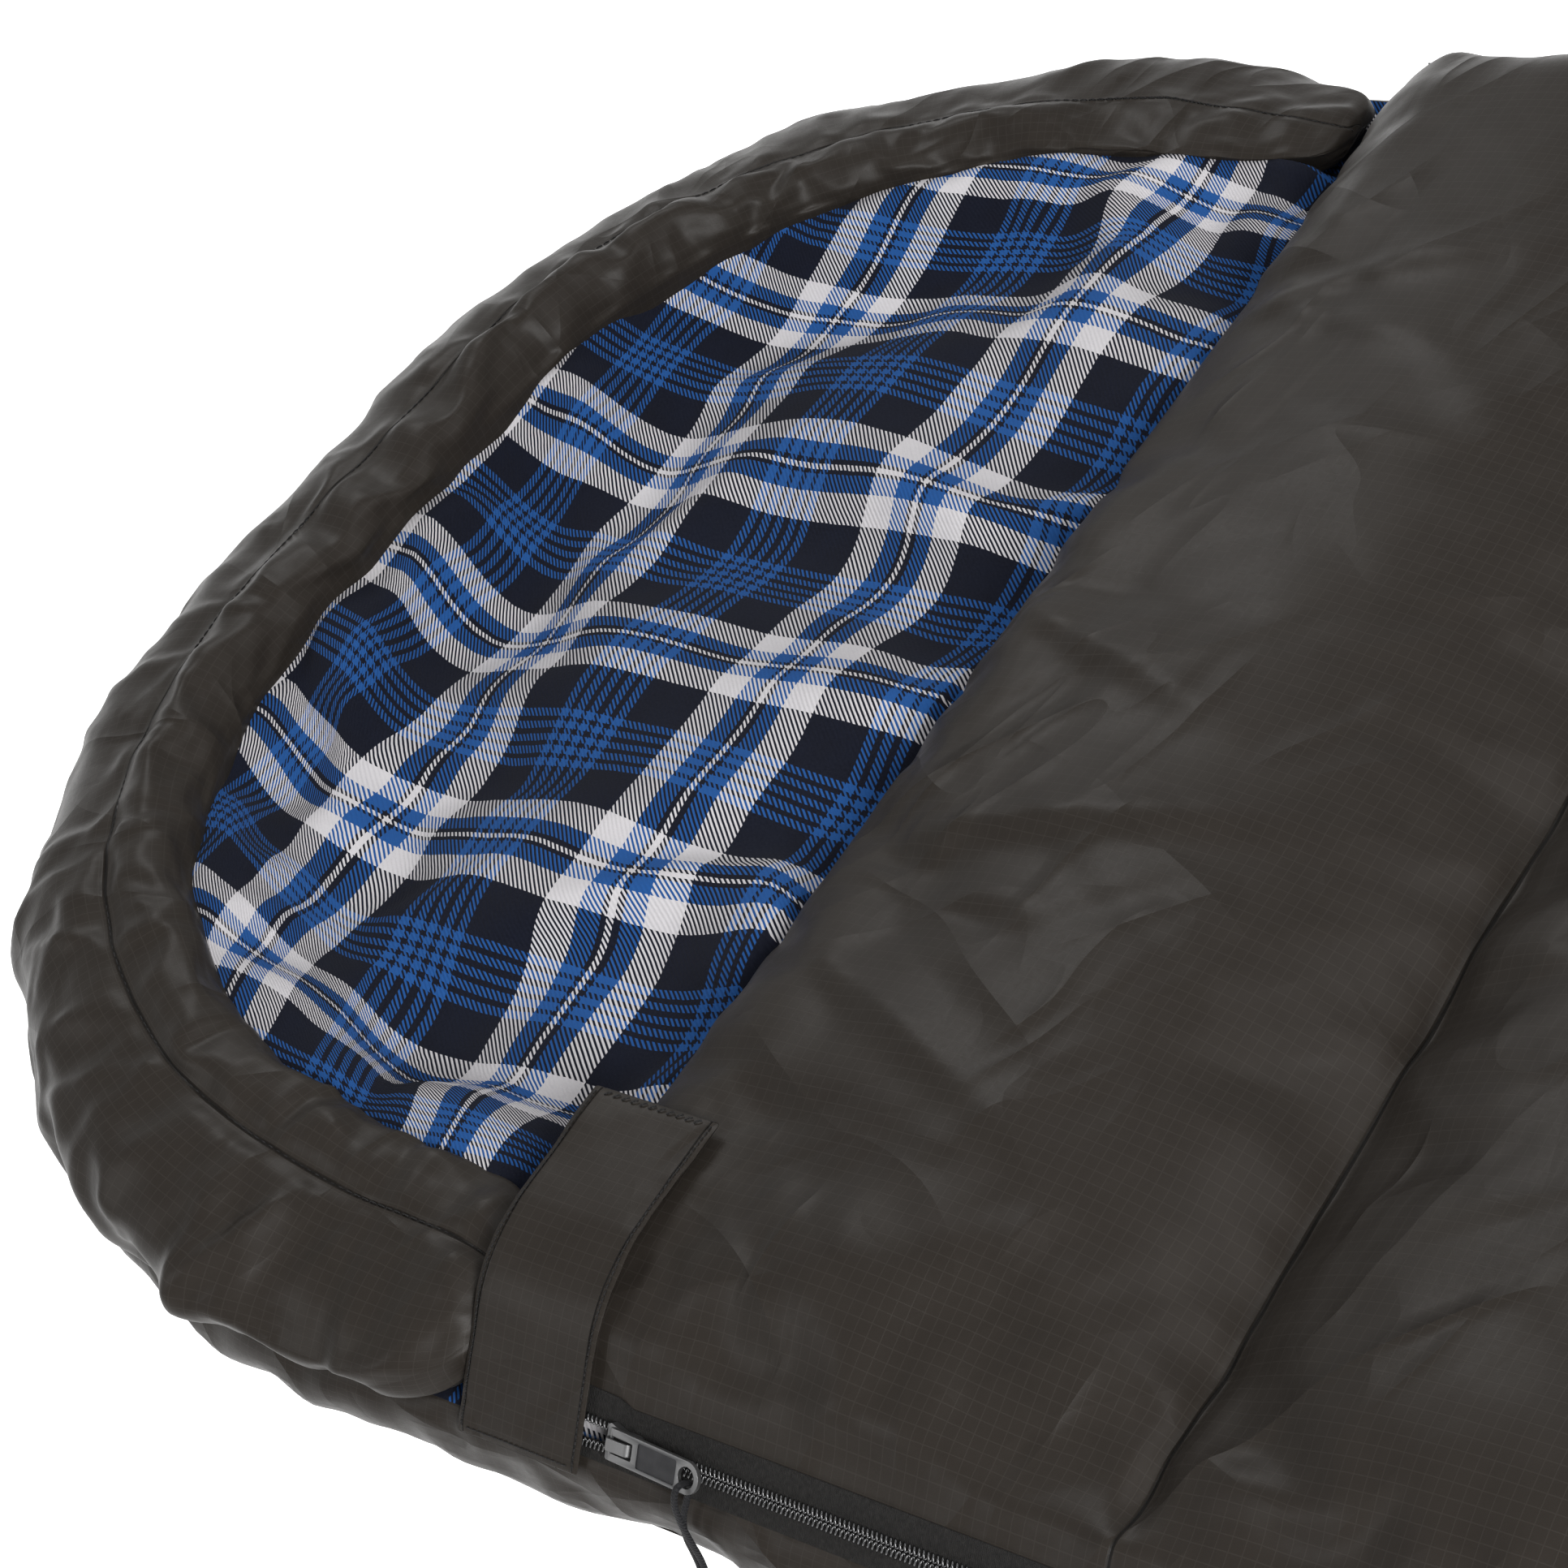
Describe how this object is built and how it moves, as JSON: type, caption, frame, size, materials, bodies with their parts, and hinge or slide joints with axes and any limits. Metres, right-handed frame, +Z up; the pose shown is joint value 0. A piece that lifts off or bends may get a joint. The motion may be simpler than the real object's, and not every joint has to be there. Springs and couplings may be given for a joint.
{
  "type": "hooded rectangular sleeping bag",
  "caption": "Hooded rectangular sleeping bag with quilted shell, checked flannel lining, drawcord hood, side and foot zip with slider and pull, and a closure flap.",
  "frame": {"origin": "on the floor under the middle of the bag", "axes": "+X towards the foot, +Y towards the side fold, +Z up; the hood is at -X and the zip side at -Y"},
  "size_m": [2.3, 0.8275, 0.117],
  "materials": {
    "shell": "dark brown-charcoal satin polyester",
    "lining": "brushed cotton flannel, blue, black and white check",
    "fill": "white hollow-fibre wadding",
    "zip_tape": "black woven polyester tape",
    "zip_coil": "black nylon coil",
    "zip_metal": "gunmetal plated zinc",
    "cord": "black braided polyester",
    "hook_and_loop": "black hook-and-loop tape"
  },
  "bodies": {
    "base": {"base_shell": "shell", "base_fill": "fill", "base_lining": "lining", "hood_shell": "shell", "hood_fill": "fill", "hood_lining": "lining", "hood_channel": "shell", "hood_drawcord": "cord", "side_fold": "shell", "base_zip_tape": "zip_tape", "base_zip_coil": "zip_coil", "base_zip_stop": "zip_metal", "zip_bottom_stop": "zip_metal", "loop_patch": "hook_and_loop"},
    "top_quilt": {"top_shell": "shell", "top_fill": "fill", "top_lining": "lining", "top_zip_tape": "zip_tape", "top_zip_coil": "zip_coil", "top_zip_stop": "zip_metal"},
    "slider": {"slider_body": "zip_metal"},
    "pull": {"pull_tab": "zip_metal", "pull_cord_front": "cord", "pull_cord_back": "cord", "pull_cord_knot": "cord"},
    "flap": {"closure_flap": "shell", "hook_patch": "hook_and_loop"}
  },
  "joints": [
    {"name": "quilt_fold", "type": "hinge", "parent": "base", "child": "top_quilt", "pos_m": [0, 0.4003, 0.048], "axis": [-1, 0, 0], "range_deg": [0, 180], "deforming": ["side_fold", "top_zip_tape", "top_zip_coil", "base_zip_tape", "base_zip_coil"]},
    {"name": "zip_slide", "type": "slide", "parent": "base", "child": "slider", "axis": [1, 0, 0], "range_m": [-0.01, 1.73], "deforming": ["top_zip_tape", "top_zip_coil", "base_zip_tape", "base_zip_coil"]},
    {"name": "pull_swing", "type": "hinge", "parent": "slider", "child": "pull", "pos_m": [-0.6876, -0.38782, 0.05182], "axis": [0, -0.7071, -0.7071], "range_deg": [0, 150]},
    {"name": "flap_lift", "type": "hinge", "parent": "top_quilt", "child": "flap", "pos_m": [-0.732, -0.27, 0.09113], "axis": [-1, 0, 0], "range_deg": [0, 170]}
  ]
}
